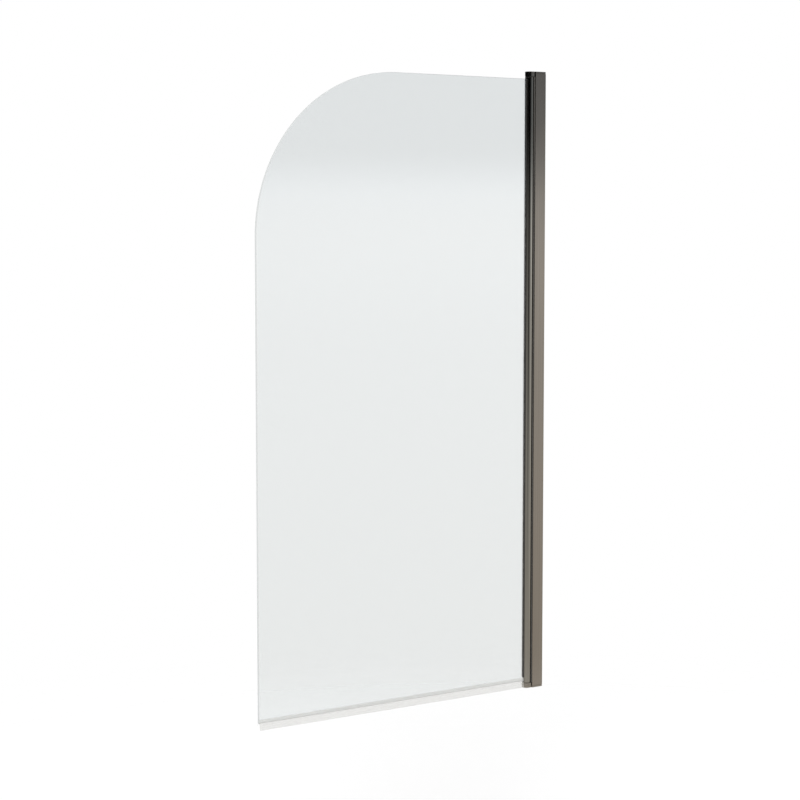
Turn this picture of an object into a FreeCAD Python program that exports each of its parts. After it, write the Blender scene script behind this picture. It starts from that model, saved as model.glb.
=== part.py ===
import FreeCAD, Part
import math
import os

# A bath screen: one sheet of toughened glass with a quarter-round top corner. The glass is glazed into
# a round hinge barrel, the barrel turns between two brackets on an expander profile, and the expander
# slides in a channel that is screwed to the wall and is locked there by clamp screws.
#
# Frame, in millimetres: the finished wall is the plane x = 0 and the screen reaches out along -X.
# Y runs through the glass, from its front at -Y to its back. Z is up, and z = 0 is half way up.

Vec = FreeCAD.Vector
UP = Vec(0, 0, 1)
CENTRE = Vec(0, 0, 0)

# Overall size
screen_height = 1400.0      # over both cover caps
screen_reach = 750.0        # from the wall to the free edge of the glass
corner_radius = 350.0       # the quarter-round top corner

# Clearances
running_gap = 0.3           # between faces that slide or turn past each other
bearing_gap = 0.05          # radial, round a journal in its bush
press_gap = 0.02            # radial, round a piece pushed home in a round hole
moulding_gap = 0.15         # round a moulded or rubber piece in its pocket

# Glass
glass_thickness = 6.0
glass_arris = 0.6           # the ground and polished edge
glass_bite = 11.0           # how far the barrel swallows the glass
glass_end_gap = 2.2         # from the top of the glass to the end of the barrel

# Wall channel, an aluminium U
channel_width = 25.0
channel_depth = 29.0
channel_leg = 1.5
channel_web = 1.8
channel_corner = 0.6        # outer edges against the wall
channel_tip = 0.5           # rounding of the two leg tips
channel_root = 1.0          # inside corners
track_height = 0.8          # two low ribs that keep the wall screws in line
track_width = 1.2
track_spacing = 12.0

# Slotted holes for the wall screws
wall_slot_count = 4
wall_slot_pitch = 410.0
wall_slot_width = 5.2
wall_slot_length = 10.0

# Expander profile, which slides in the channel
expander_leg = 1.5
expander_web = 2.5
expander_recess = 1.5       # its front stands this far inside the mouth of the channel
expander_back_gap = 1.5     # between its back edges and the web of the channel
expander_corner = 0.5
cradle_gap = 0.5            # between the barrel and the hollow front of the expander
port_bore = 1.2             # radius of the screw ports that run its full length
port_wall = 1.3
port_offset = 3.6           # of each port from the middle plane
port_merge = 0.7            # how deep each port runs into the front web

# Wiper seals, pushed into grooves in the front of the expander
wiper_offset = 8.2
wiper_foot_width = 1.8
wiper_foot_depth = 1.4
wiper_groove_depth = 1.5
wiper_shoulder = 1.1        # height of the thick part of the lip
wiper_tip_width = 0.5
wiper_root_width = 0.4      # how much wider the lip is than its foot, on the inner side

# Clamp screws through the back leg of the channel, with their nut plates
clamp_count = 3
clamp_pitch = 560.0
clamp_from_wall = 19.0
clamp_travel = 12.0         # how far the expander can be drawn out of the channel
clamp_shank = 2.0           # radius
clamp_hole_gap = 0.2        # round the screw in the leg of the channel
clamp_slot_gap = 0.4        # round the screw in the slot of the expander
clamp_head_radius = 3.5
clamp_head_height = 2.2
clamp_tip = 0.3             # how far the screw shows behind its nut plate
nut_side = 10.0
nut_thickness = 2.0

# Washers under the clamp screws, and the domes that clip over them
washer_radius = 5.2
washer_height = 1.6
dome_wall = 0.9
dome_head_gap = 0.4         # between the screw head and the inside of the dome
dome_crown = 1.3            # rise of the domed face

# Hinge barrel, a round extrusion with a glazing slot
barrel_radius = 10.0
barrel_nest = 2.0           # how far it reaches into the mouth of the channel
barrel_wall = 1.5
slot_wall = 1.5
barrel_rib = 1.5
slot_lip = 0.4              # rounding of the two lips of the slot

# Glazing gasket, a U round the hidden edge of the glass
gasket_thickness = 0.8
gasket_bead = 2.6           # how far its lips stand out along the glass
gasket_bead_rise = 0.5
gasket_bead_gap = 0.35      # between the bead and the barrel

# Ends of the hinge, counted inwards from each end face
cover_height = 4.5
bracket_thickness = 6.6
flange_thickness = 0.8
plug_disc = 1.6
setting_block = 2.4         # under the glass, in the slot

# Brackets
bracket_reach = 17.0        # how far each one runs into the channel
bracket_screw_gap = 0.3
bracket_screw_head = 2.8    # radius
bracket_screw_height = 2.2
bracket_screw_length = 22.0
peg_side = 3.0              # square pegs on the cover caps
peg_depth = 4.0
peg_tip_gap = 0.4
peg_offset = 6.5
peg_from_wall = 16.0

# Bushes and end plugs
journal_radius = 6.0
journal_short = 0.5         # its end stops this far inside the bracket
bush_wall = 1.0
flange_radius = 9.0
prong_length = 14.0
prong_span = 5.0            # how far the prongs run to the free side of the axis
plug_inset = 0.1            # the disc is this much smaller than the barrel

# Cover caps
cover_wall = 1.5
cover_wall_gap = 0.5        # between the cap and the wall
cover_edge = 0.8            # rounding of the outer edge

# Bottom seal, a clip of clear vinyl with a curved skirt and a drip fin. It runs up to the nose of the
# hinge, and the gasket stops above it.
seal_wall = 0.9
seal_grip = 7.9             # how far it reaches up the glass
seal_web = 1.2
seal_lip = 0.5              # rounding at the top of the clip
seal_end_gap = 0.3          # from the seal to the nose of the hinge, and to the gasket above it
seal_free_gap = 1.0         # it stops this far short of the free edge
skirt_rise = 1.5            # the skirt ends this far above the underside of the cover caps
skirt_flare = 2.2
fin_drop = 4.4
fin_flare = 2.6
fin_tip = 0.5

# Places that follow from the sizes above
axis_x = -(channel_depth + barrel_radius - barrel_nest)
axis = Vec(axis_x, 0, 0)
channel_half = channel_width / 2
glass_half = glass_thickness / 2
slot_half = glass_half + gasket_thickness
glass_edge_x = axis_x - barrel_radius + glass_bite
slot_floor_x = glass_edge_x + gasket_thickness

floor_z = -screen_height / 2
bracket_outer_z = floor_z + cover_height
bracket_inner_z = bracket_outer_z + bracket_thickness
flange_inner_z = bracket_inner_z + flange_thickness
plug_outer_z = flange_inner_z + running_gap
barrel_end_z = plug_outer_z + plug_disc
glass_bottom_z = barrel_end_z + setting_block
glass_top_z = -barrel_end_z - glass_end_gap
channel_end_z = bracket_outer_z + running_gap

expander_half = channel_half - channel_leg - running_gap
expander_front_x = -(channel_depth - expander_recess)
expander_back_x = -(channel_web + expander_back_gap)
expander_web_x = expander_front_x + expander_web
port_radius = port_bore + port_wall
port_x = expander_web_x + port_radius - port_merge

bead_x = axis_x - math.sqrt(barrel_radius ** 2 - slot_half ** 2) - gasket_bead_gap
bead_tip_x = bead_x - gasket_bead
seal_top_z = glass_bottom_z + seal_grip
seal_end_x = axis_x - barrel_radius - seal_end_gap
gasket_bottom_z = seal_top_z + seal_end_gap


def rounded_face(corners):
    """A flat face in the XY plane. Each corner is (x, y, radius), and straight sides join them."""
    starts = []
    middles = []
    ends = []
    count = len(corners)
    for i in range(count):
        here = Vec(corners[i][0], corners[i][1], 0)
        back = Vec(corners[i - 1][0], corners[i - 1][1], 0) - here
        ahead = Vec(corners[(i + 1) % count][0], corners[(i + 1) % count][1], 0) - here
        radius = corners[i][2]
        half = back.getAngle(ahead) / 2
        back.normalize()
        ahead.normalize()
        inwards = back + ahead
        inwards.normalize()
        starts.append(here + back * (radius / math.tan(half)))
        ends.append(here + ahead * (radius / math.tan(half)))
        middles.append(here + inwards * (radius / math.sin(half) - radius))
    edges = []
    for i in range(count):
        if corners[i][2] > 0:
            edges.append(Part.Arc(starts[i], middles[i], ends[i]).toShape())
        next_start = starts[(i + 1) % count]
        if (next_start - ends[i]).Length > Part.Precision.confusion():
            edges.append(Part.LineSegment(ends[i], next_start).toShape())
    return Part.Face(Part.Wire(edges))


def extrude_up(face, low_z, high_z):
    """A section drawn in the XY plane, carried from one height to another."""
    raised = face.translated(UP * low_z)
    return raised.extrude(UP * (high_z - low_z))


def extrude_along_x(face, low_x, high_x):
    """A section drawn as (y, z), carried along X."""
    upright = face.rotated(CENTRE, Vec(1, 1, 1), 120)
    return upright.translated(Vec(low_x, 0, 0)).extrude(Vec(high_x - low_x, 0, 0))


def cylinder(radius, low_z, high_z, x=0.0, y=0.0):
    """An upright cylinder between two heights."""
    return Part.makeCylinder(radius, high_z - low_z, Vec(x, y, low_z), UP)


def block(low_x, high_x, low_y, high_y, low_z, high_z):
    """A plain block between two corners."""
    size = Vec(high_x - low_x, high_y - low_y, high_z - low_z)
    return Part.makeBox(size.x, size.y, size.z, Vec(low_x, low_y, low_z))


def turned(profile):
    """A solid of revolution about Z. The profile is a list of (radius, z) points."""
    points = [Vec(radius, 0, z) for radius, z in profile]
    wire = Part.makePolygon(points + points[:1])
    return Part.Face(wire).revolve(CENTRE, UP, 360)


def slot_prism(width, length, depth):
    """A round-ended slot about the origin. It is long in X and is extruded up Z by depth."""
    run = (length - width) / 2
    body = block(-run, run, -width / 2, width / 2, 0, depth)
    body = body.fuse(cylinder(width / 2, 0, depth, -run))
    body = body.fuse(cylinder(width / 2, 0, depth, run))
    return body.removeSplitter()


def spaced(count, pitch):
    """Heights of a row of things that is centred on z = 0."""
    return [(i - (count - 1) / 2) * pitch for i in range(count)]


def mirrored_to_top(shape):
    """The same piece at the other end of the hinge."""
    return shape.mirror(CENTRE, UP)


def at_both_ends(shape):
    """A pair of one piece: as drawn at the bottom, and its mirror image at the top."""
    return Part.makeCompound([shape, mirrored_to_top(shape)])


def wall_channel():
    """The U that is screwed to the wall, with its screw slots and the holes of the clamp screws."""
    inner = channel_half - channel_leg
    tip_x = -channel_depth
    track = track_spacing / 2
    rib_x = -(channel_web + track_height)
    section = [
        (0, -channel_half, channel_corner),
        (0, channel_half, channel_corner),
        (tip_x, channel_half, channel_tip),
        (tip_x, inner, channel_tip),
        (-channel_web, inner, channel_root),
        (-channel_web, track + track_width, 0),
        (rib_x, track + track_width, 0),
        (rib_x, track, 0),
        (-channel_web, track, 0),
        (-channel_web, -track, 0),
        (rib_x, -track, 0),
        (rib_x, -track - track_width, 0),
        (-channel_web, -track - track_width, 0),
        (-channel_web, -inner, channel_root),
        (tip_x, -inner, channel_tip),
        (tip_x, -channel_half, channel_tip),
    ]
    body = extrude_up(rounded_face(section), channel_end_z, -channel_end_z)
    slot = slot_prism(wall_slot_width, wall_slot_length, 2 * channel_web)
    slot.rotate(CENTRE, Vec(0, 1, 0), -90)
    slot.translate(Vec(channel_web / 2, 0, 0))
    for z in spaced(wall_slot_count, wall_slot_pitch):
        body = body.cut(slot.translated(Vec(0, 0, z)))
    hole_radius = clamp_shank + clamp_hole_gap
    for z in spaced(clamp_count, clamp_pitch):
        start = Vec(-clamp_from_wall, inner - channel_leg, z)
        body = body.cut(Part.makeCylinder(hole_radius, 3 * channel_leg, start, Vec(0, 1, 0)))
    return body


def expander_profile():
    """The sliding profile: a U with screw ports, a hollow front, wiper grooves and clamp slots."""
    inner = expander_half - expander_leg
    section = [
        (expander_front_x, -expander_half, expander_corner),
        (expander_back_x, -expander_half, expander_corner),
        (expander_back_x, -inner, expander_corner),
        (expander_web_x, -inner, expander_corner),
        (expander_web_x, inner, expander_corner),
        (expander_back_x, inner, expander_corner),
        (expander_back_x, expander_half, expander_corner),
        (expander_front_x, expander_half, expander_corner),
    ]
    low = bracket_inner_z
    high = -bracket_inner_z
    body = extrude_up(rounded_face(section), low, high)
    for side in (-1, 1):
        body = body.fuse(cylinder(port_radius, low, high, port_x, side * port_offset))
    for side in (-1, 1):
        body = body.cut(cylinder(port_bore, low, high, port_x, side * port_offset))
        groove_half = wiper_foot_width / 2 + moulding_gap
        middle = side * wiper_offset
        body = body.cut(block(
            expander_front_x, expander_front_x + wiper_groove_depth,
            middle - groove_half, middle + groove_half, low, high))
    body = body.cut(cylinder(barrel_radius + cradle_gap, low, high, axis_x))
    half = clamp_shank + clamp_slot_gap
    for z in spaced(clamp_count, clamp_pitch):
        body = body.cut(block(
            -clamp_from_wall - half, -clamp_from_wall + clamp_travel + half,
            inner, expander_half, z - half, z + half))
    return body.removeSplitter()


def wiper_seal(side):
    """A rubber lip from the front of the expander to the barrel, on one side of the middle plane."""
    foot = wiper_foot_width / 2
    middle = wiper_offset
    shoulder_x = expander_front_x - wiper_shoulder
    reach = barrel_radius + running_gap
    tip_y = middle - foot
    tip_x = axis_x + math.sqrt(reach ** 2 - tip_y ** 2)
    section = [
        (expander_front_x + wiper_foot_depth, middle - foot, 0),
        (expander_front_x + wiper_foot_depth, middle + foot, 0),
        (shoulder_x, middle + foot, wiper_tip_width),
        (tip_x, tip_y + wiper_tip_width, 0),
        (tip_x, tip_y, 0),
        (shoulder_x, middle - foot - wiper_root_width, wiper_tip_width),
        (expander_front_x, middle - foot - wiper_root_width, 0),
        (expander_front_x, middle - foot, 0),
    ]
    lip = extrude_up(rounded_face(section), bracket_inner_z, -bracket_inner_z)
    if side < 0:
        lip = lip.mirror(CENTRE, Vec(0, 1, 0))
    return lip


def turn_to_back(shape, z):
    """A screw piece drawn along Z is laid on the back of the channel, pointing outwards, at height z."""
    laid = shape.rotated(CENTRE, Vec(1, 0, 0), -90)
    return laid.translated(Vec(-clamp_from_wall, channel_half, z))


def clamp_row(shape):
    """The same small piece at every clamp screw."""
    return Part.makeCompound([turn_to_back(shape, z) for z in spaced(clamp_count, clamp_pitch)])


def clamp_stack():
    """Depths below the face of the channel: the outer and inner faces of the nut plate."""
    outer = -(channel_leg + running_gap + expander_leg + running_gap)
    return outer, outer - nut_thickness


def clamp_screws():
    """Pan-head machine screws."""
    tip = clamp_stack()[1] - clamp_tip
    seat = washer_height
    top = seat + clamp_head_height
    return clamp_row(turned([
        (0, tip),
        (clamp_shank, tip),
        (clamp_shank, seat),
        (clamp_head_radius, seat),
        (clamp_head_radius, top),
        (0, top),
    ]))


def clamp_nut_plates():
    """Square plates behind the leg of the expander. Their thread is a plain bore."""
    outer, inner = clamp_stack()
    half = nut_side / 2
    plate = block(-half, half, -half, half, inner, outer)
    return clamp_row(plate.cut(cylinder(clamp_shank + press_gap, inner, outer)))


def clamp_washers():
    """Thick plastic washers under the screw heads. The domes clip over their edges."""
    washer = cylinder(washer_radius, 0, washer_height)
    return clamp_row(washer.cut(cylinder(clamp_shank + press_gap, 0, washer_height)))


def clamp_domes():
    """Covers that clip on: a thin wall round the washer and a domed face over the screw head."""
    inner = washer_radius + moulding_gap
    outer = inner + dome_wall
    lift = washer_height + clamp_head_height + dome_head_gap
    shoulder = lift + dome_wall
    sphere = (outer ** 2 + dome_crown ** 2) / (2 * dome_crown)
    crown = Part.makeSphere(sphere, Vec(0, 0, shoulder + dome_crown - sphere))
    body = cylinder(outer, 0, shoulder + dome_crown).common(crown)
    return clamp_row(body.cut(cylinder(inner, 0, lift)))


def peg(side, gap, low, high):
    """One square peg of a cover cap, or with a gap the socket for it."""
    half = peg_side / 2 + gap
    middle = side * peg_offset
    return block(
        -peg_from_wall - half, -peg_from_wall + half, middle - half, middle + half, low, high)


def bracket():
    """The lower hinge bracket: it closes the end of the expander and carries the bush in its nose."""
    low = bracket_outer_z
    high = bracket_inner_z
    body = cylinder(barrel_radius, low, high, axis_x)
    back_x = -channel_depth + bracket_reach
    body = body.fuse(block(axis_x, back_x, -barrel_radius, barrel_radius, low, high))
    body = body.removeSplitter()
    bore = journal_radius + bearing_gap + bush_wall + press_gap
    body = body.cut(cylinder(bore, low, high, axis_x))
    for side in (-1, 1):
        shank = port_bore + bracket_screw_gap
        head = bracket_screw_head + bracket_screw_gap
        seat = low + bracket_screw_height
        body = body.cut(cylinder(shank, low, high, port_x, side * port_offset))
        body = body.cut(cylinder(head, low, seat, port_x, side * port_offset))
        body = body.cut(peg(side, press_gap, low, low + peg_depth))
    return body


def bracket_screws():
    """Two cheese-head tapping screws from the bracket into the ports of the expander."""
    shank = port_bore - press_gap
    screw = cylinder(bracket_screw_head, 0, bracket_screw_height)
    screw = screw.fuse(cylinder(shank, bracket_screw_height, bracket_screw_length))
    places = [Vec(port_x, side * port_offset, bracket_outer_z) for side in (-1, 1)]
    return Part.makeCompound([screw.translated(place) for place in places])


def bush():
    """A flanged bearing bush. Its flange carries the weight of the glass."""
    bore = journal_radius + bearing_gap
    sleeve = bore + bush_wall
    return turned([
        (bore, bracket_outer_z),
        (sleeve, bracket_outer_z),
        (sleeve, bracket_inner_z),
        (flange_radius, bracket_inner_z),
        (flange_radius, flange_inner_z),
        (bore, flange_inner_z),
    ]).translated(axis)


def cover_plan(inset, low, high):
    """The outline of the hinge from above, shrunk by inset: the channel and the nose."""
    body = block(
        -channel_depth + inset, -cover_wall_gap - inset,
        -channel_half + inset, channel_half - inset, low, high)
    nose = barrel_radius - inset
    body = body.fuse(block(axis_x, -channel_depth + 2 * inset, -nose, nose, low, high))
    body = body.fuse(cylinder(nose, low, high, axis_x))
    return body.removeSplitter()


def cover_cap():
    """The lower cover: a thin moulded lid with two pegs that push into the bracket."""
    lid_z = floor_z + cover_wall
    body = cover_plan(0, floor_z, bracket_outer_z)
    rim = [edge for edge in body.Edges if edge.BoundBox.ZMax < floor_z + cover_edge]
    body = body.makeChamfer(cover_edge, rim)
    body = body.cut(cover_plan(cover_wall, lid_z, bracket_outer_z))
    for side in (-1, 1):
        body = body.fuse(peg(side, 0, lid_z, bracket_outer_z + peg_depth - peg_tip_gap))
    return body.removeSplitter()


def barrel_chambers(low, high, inset):
    """The two hollows of the barrel, either side of its rib, shrunk all round by inset."""
    core_x = slot_floor_x + slot_wall + inset
    core_half = slot_half + slot_wall + inset
    rib_half = barrel_rib / 2 + inset
    body = cylinder(barrel_radius - barrel_wall - inset, low, high, axis_x)
    body = body.cut(block(axis_x - barrel_radius, core_x, -core_half, core_half, low, high))
    return body.cut(block(core_x, axis_x + barrel_radius, -rib_half, rib_half, low, high))


def hinge_barrel():
    """The round extrusion that turns: an outer tube, a glazing slot inside it and one rib."""
    low = barrel_end_z
    high = -barrel_end_z
    body = cylinder(barrel_radius, low, high, axis_x)
    body = body.cut(barrel_chambers(low, high, 0))
    body = body.cut(block(axis_x - 2 * barrel_radius, slot_floor_x, -slot_half, slot_half, low, high))
    lip_x = axis_x - math.sqrt(barrel_radius ** 2 - slot_half ** 2)
    lips = []
    for edge in body.Edges:
        box = edge.BoundBox
        upright = box.ZLength > barrel_radius
        if upright and abs(box.XMax - lip_x) < slot_lip and abs(abs(box.YMax) - slot_half) < slot_lip:
            lips.append(edge)
    return body.makeFillet(slot_lip, lips)


def end_plug():
    """The lower end plug: a disc on the end of the barrel, prongs in its chambers and a journal."""
    disc = barrel_radius - plug_inset
    tip_z = bracket_outer_z + journal_short
    body = turned([
        (0, tip_z),
        (journal_radius, tip_z),
        (journal_radius, plug_outer_z),
        (disc, plug_outer_z),
        (disc, barrel_end_z),
        (0, barrel_end_z),
    ]).translated(axis)
    prongs = barrel_chambers(barrel_end_z, barrel_end_z + prong_length, moulding_gap)
    keep = block(
        axis_x - prong_span, axis_x + barrel_radius, -barrel_radius, barrel_radius,
        barrel_end_z, barrel_end_z + prong_length)
    return body.fuse(prongs.common(keep)).removeSplitter()


def glass_setting_block():
    """A hard pad in the slot of the barrel. The glass stands on it."""
    half = slot_half - moulding_gap
    low_x = axis_x - barrel_radius + slot_wall
    return block(low_x, slot_floor_x - moulding_gap, -half, half, barrel_end_z, glass_bottom_z)


def glass_panel():
    """The sheet of glass, drawn from the back and given its thickness, with every edge arrissed."""
    outline = [
        (glass_edge_x, glass_bottom_z, 0),
        (glass_edge_x, glass_top_z, 0),
        (-screen_reach, glass_top_z, corner_radius),
        (-screen_reach, glass_bottom_z, 0),
    ]
    face = rounded_face(outline).rotated(CENTRE, Vec(1, 0, 0), 90)
    sheet = face.translated(Vec(0, glass_half, 0)).extrude(Vec(0, -glass_thickness, 0))
    long_edges = []
    for edge in sheet.Edges:
        if edge.BoundBox.YLength < glass_half:
            long_edges.append(edge)
    return sheet.makeChamfer(glass_arris, long_edges)


def glazing_gasket():
    """The U of soft vinyl between glass and barrel, with a small bead on each face of the glass."""
    rise = slot_half + gasket_bead_rise
    one_side = [
        (slot_floor_x, slot_half, 0),
        (bead_x, slot_half, 0),
        (bead_x, rise, 0),
        (bead_tip_x, slot_half - gasket_bead_rise, 0),
        (bead_tip_x, glass_half, 0),
        (glass_edge_x, glass_half, 0),
    ]
    other_side = [(x, -y, radius) for x, y, radius in reversed(one_side)]
    return extrude_up(rounded_face(one_side + other_side), gasket_bottom_z, glass_top_z)


def bottom_seal():
    """The clear vinyl seal: a clip on the glass, a skirt that curves forwards and a short back fin."""
    web = glass_bottom_z - seal_web
    outer = glass_half + seal_wall
    hem = floor_z + skirt_rise
    sweep = (web - hem) * 2
    fin_end = web - fin_drop
    section = [
        (-glass_half, seal_top_z, 0),
        (-outer, seal_top_z - seal_lip, seal_lip),
        (-outer, (web + hem) / 2, sweep),
        (-outer - skirt_flare, hem, 0),
        (-outer - skirt_flare + seal_wall, hem, 0),
        (-glass_half, (web + hem) / 2, sweep),
        (-glass_half, web, 0),
        (glass_half, web, 0),
        (outer + fin_flare - fin_tip, fin_end, 0),
        (outer + fin_flare, fin_end, 0),
        (outer, web, seal_lip),
        (outer, seal_top_z - seal_lip, seal_lip),
        (glass_half, seal_top_z, 0),
        (glass_half, glass_bottom_z, 0),
        (-glass_half, glass_bottom_z, 0),
    ]
    return extrude_along_x(rounded_face(section), -screen_reach + seal_free_gap, seal_end_x)


nodes = {
    "wall_channel": wall_channel(),
    "clamp_screws": clamp_screws(),
    "clamp_nut_plates": clamp_nut_plates(),
    "clamp_washers": clamp_washers(),
    "clamp_screw_covers": clamp_domes(),
    "expander_profile": expander_profile(),
    "front_wiper_seal": wiper_seal(-1),
    "back_wiper_seal": wiper_seal(1),
    "bottom_bracket": bracket(),
    "top_bracket": mirrored_to_top(bracket()),
    "bottom_bracket_screws": bracket_screws(),
    "top_bracket_screws": mirrored_to_top(bracket_screws()),
    "pivot_bushes": at_both_ends(bush()),
    "bottom_cover_cap": cover_cap(),
    "top_cover_cap": mirrored_to_top(cover_cap()),
    "hinge_barrel": hinge_barrel(),
    "barrel_end_plugs": at_both_ends(end_plug()),
    "glass_setting_block": glass_setting_block(),
    "glazing_gasket": glazing_gasket(),
    "glass_panel": glass_panel(),
    "bottom_seal": bottom_seal(),
}

os.makedirs("parts", exist_ok=True)
for name, shape in nodes.items():
    shape.exportStep(os.path.join("parts", name + ".step"))
    box = shape.BoundBox
    print(
        f"{name:22s} valid {shape.isValid()} solids {len(shape.Solids)} volume {shape.Volume:10.1f} mm3"
        f"  x {box.XMin:8.2f} {box.XMax:7.2f}  y {box.YMin:6.2f} {box.YMax:6.2f}"
        f"  z {box.ZMin:8.2f} {box.ZMax:8.2f}")
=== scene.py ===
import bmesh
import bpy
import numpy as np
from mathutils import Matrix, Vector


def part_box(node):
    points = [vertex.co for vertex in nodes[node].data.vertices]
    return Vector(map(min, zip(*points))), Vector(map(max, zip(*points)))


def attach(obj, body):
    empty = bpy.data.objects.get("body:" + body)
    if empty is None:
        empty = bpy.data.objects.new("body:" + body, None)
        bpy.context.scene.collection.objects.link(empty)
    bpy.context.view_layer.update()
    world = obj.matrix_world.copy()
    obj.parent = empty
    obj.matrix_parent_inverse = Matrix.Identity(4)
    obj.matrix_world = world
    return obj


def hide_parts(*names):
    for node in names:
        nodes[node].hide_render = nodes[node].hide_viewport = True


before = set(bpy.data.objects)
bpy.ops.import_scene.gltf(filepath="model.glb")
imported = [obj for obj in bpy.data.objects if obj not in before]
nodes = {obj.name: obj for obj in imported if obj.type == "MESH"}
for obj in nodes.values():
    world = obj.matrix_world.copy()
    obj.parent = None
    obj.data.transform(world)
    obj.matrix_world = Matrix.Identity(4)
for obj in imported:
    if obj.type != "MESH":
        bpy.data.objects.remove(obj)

# %% [markdown]
# # A bath screen, dressed
#
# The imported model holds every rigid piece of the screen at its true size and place: a sheet of glass
# in a round hinge barrel, a channel on the wall, and the brackets, seals and screws between them.
# This file gives each of them its finish. Where a coarse CAD surface would show, as on round metal
# and on the edge of the glass, a finer surface is worked out here and stands in the same place.
#
# All outlines are written in millimetres, in the frame of the model: the wall is x = 0, the screen
# reaches out along -X, its front faces -Y, and z = 0 is half way up.

MM = 0.001
bpy.context.scene.view_settings.view_transform = "Standard"
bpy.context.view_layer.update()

# %% [markdown]
# ## Sizes taken over from the model
#
# A piece that stands in for a CAD node has to lie exactly where the node lies, so the sizes that
# place it are repeated here, and the extents of the nodes are printed to compare them with.

# %% Sizes
CHANNEL_HALF = 12.5
CHANNEL_DEPTH = 29.0
AXIS_X = -37.0
BARREL = 10.0
BARREL_WALL = 1.5
BARREL_END = 686.2
SCREEN_HALF = 700.0
COVER = 4.5
GLASS_HALF = 3.0
GLASS_HIDDEN_X = -36.0
GLASS_FREE_X = -750.0
GLASS_LOW = -683.8
GLASS_HIGH = 684.0
GLASS_CORNER = 350.0
SEAL_GRIP, WEB_DROP = 7.9, 1.2
SEAL_TOP = GLASS_LOW + SEAL_GRIP
SEAL_WEB = GLASS_LOW - WEB_DROP
SLOT_HALF = 3.8
SLOT_FLOOR_X = -35.2

for name in ("glass_panel", "hinge_barrel", "bottom_seal", "top_cover_cap", "clamp_screw_covers"):
    low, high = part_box(name)
    print(name, [round(v / MM, 2) for v in low], [round(v / MM, 2) for v in high])

# %% [markdown]
# ## Surfaces from arrays
#
# An extrusion is one outline carried along a straight path, and a turned piece is one profile carried
# round a circle. Both are the same thing to Blender: a grid of points, with rings in one direction and
# points round each ring in the other. So one function turns such grids into closed meshes, and two
# short ones work out the grids.


# %% Outlines with rounded corners
def unit(rows):
    """Each row scaled to length 1."""
    return rows / np.linalg.norm(rows, axis=1, keepdims=True)


def rounded(corners, steps):
    """A closed outline through (x, y, radius) corners, as points in millimetres.

    The centre of a corner's arc lies on the line that halves the corner, at radius / sin(half the
    angle) from it. The arc's points are weighted sums of its two end points, with the weights
    sin((1 - t) turn) and sin(t turn) over sin(turn), which spaces them evenly round the turn.
    """
    table = np.array(corners, float)
    here, radius = table[:, :2], table[:, 2:]
    back = unit(np.roll(here, 1, axis=0) - here)
    ahead = unit(np.roll(here, -1, axis=0) - here)
    half = np.arccos((back * ahead).sum(axis=1, keepdims=True)) / 2
    centre = here + unit(back + ahead) * radius / np.sin(half)
    first = here + back * radius / np.tan(half) - centre
    last = here + ahead * radius / np.tan(half) - centre
    turn = np.pi - 2 * half
    t = np.linspace(0, 1, steps)
    from_first = np.sin((1 - t) * turn)[..., None] * first[:, None]
    from_last = np.sin(t * turn)[..., None] * last[:, None]
    arcs = (from_first + from_last) / np.sin(turn)[..., None] + centre[:, None]
    return arcs.reshape(-1, 2)


def arc(centre, radius, start, end, steps):
    """Points on a circle between two angles in degrees: centre + radius (cos a, sin a)."""
    a = np.radians(np.linspace(start, end, steps))
    return np.array(centre) + radius * np.stack([np.cos(a), np.sin(a)], axis=1)


# %% Grids of points
def carried(outline, stations, along="z"):
    """An outline carried along an axis: ring i is the whole outline at station i."""
    ring = np.broadcast_to(outline, (len(stations), *outline.shape))
    run = np.broadcast_to(np.array(stations, float)[:, None, None], (*ring.shape[:2], 1))
    parts = (run, ring) if along == "x" else (ring, run)
    return np.concatenate(parts, axis=2)


def spun(profile, steps):
    """A (radius, height) profile carried round Z: x = radius cos a, y = radius sin a, z = height."""
    profile = np.array(profile, float)
    a = np.linspace(0, 2 * np.pi, steps, endpoint=False)
    radius, height = profile[:, :1], profile[:, 1:]
    return np.stack([radius * np.cos(a), radius * np.sin(a), height + 0 * a], axis=2)


# %% Meshes from grids
WELD = 0.002  # points closer than this, in millimetres, become one
SHARP = 30  # an edge that turns by more than this many degrees stays sharp


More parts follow.
